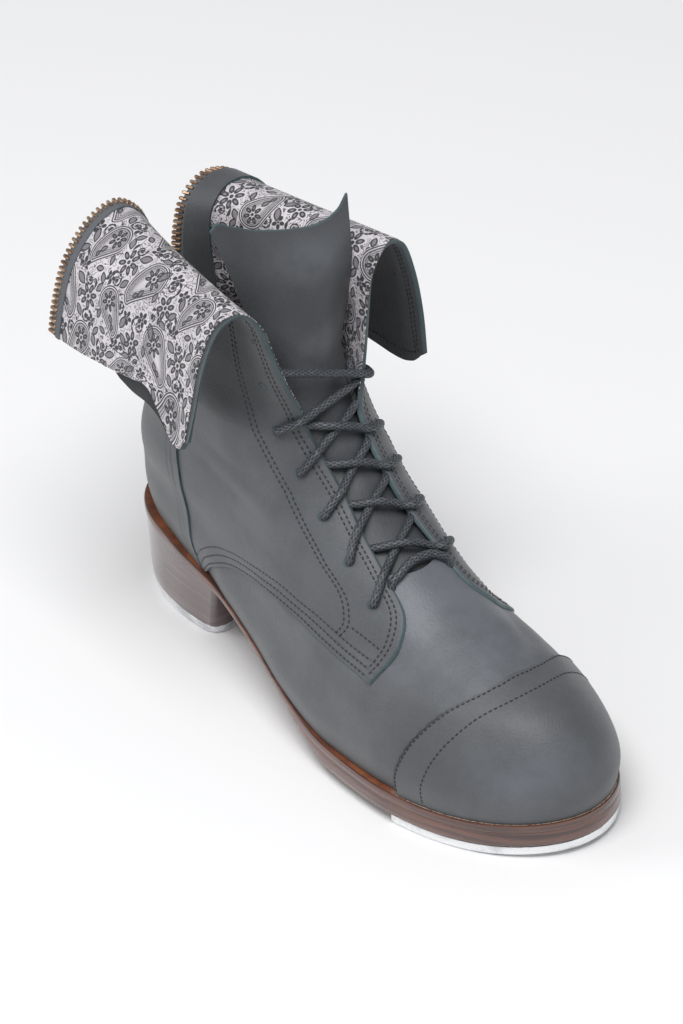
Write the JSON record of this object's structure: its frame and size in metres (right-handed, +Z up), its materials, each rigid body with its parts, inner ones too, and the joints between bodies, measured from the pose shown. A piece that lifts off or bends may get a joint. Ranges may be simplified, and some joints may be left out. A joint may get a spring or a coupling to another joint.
{
  "type": "tap boot",
  "caption": "Laced leather ankle boot for tap dance with a stacked heel, metal toe and heel taps, an open back zip and both shaft halves folded down over the ankle.",
  "frame": {"origin": "on the floor, at the middle of the heel tap's bottom face, on the boot's long axis", "axes": "+X towards the toe, +Y towards the inner side of the foot, +Z up"},
  "size_m": [0.276, 0.1169, 0.207],
  "materials": {
    "upper_leather": "matt slate-grey nubuck-like leather",
    "sole_edge": "burnished dark-brown sole leather",
    "heel_stack": "glossy dark-brown stacked leather",
    "tap_metal": "bright cast aluminium",
    "insole": "plain tan lining leather",
    "zip_brass": "antique brass teeth on a dark tape",
    "lace": "waxed braided cord"
  },
  "bodies": {
    "root": {"outsole": "sole_edge", "half_sole": "sole_edge", "heel": "heel_stack", "heel_tap": "tap_metal", "toe_tap": "tap_metal", "insole": "insole", "upper": "upper_leather", "toe_cap": "upper_leather", "backstay": "upper_leather", "tongue": "upper_leather", "zip_guard": "upper_leather", "zip_lateral": "zip_brass", "zip_medial": "zip_brass", "lace_bar": "lace", "lace_cross_1": "lace", "lace_cross_2": "lace", "lace_cross_3": "lace", "lace_cross_4": "lace", "lace_cross_5": "lace"}
  },
  "joints": []
}
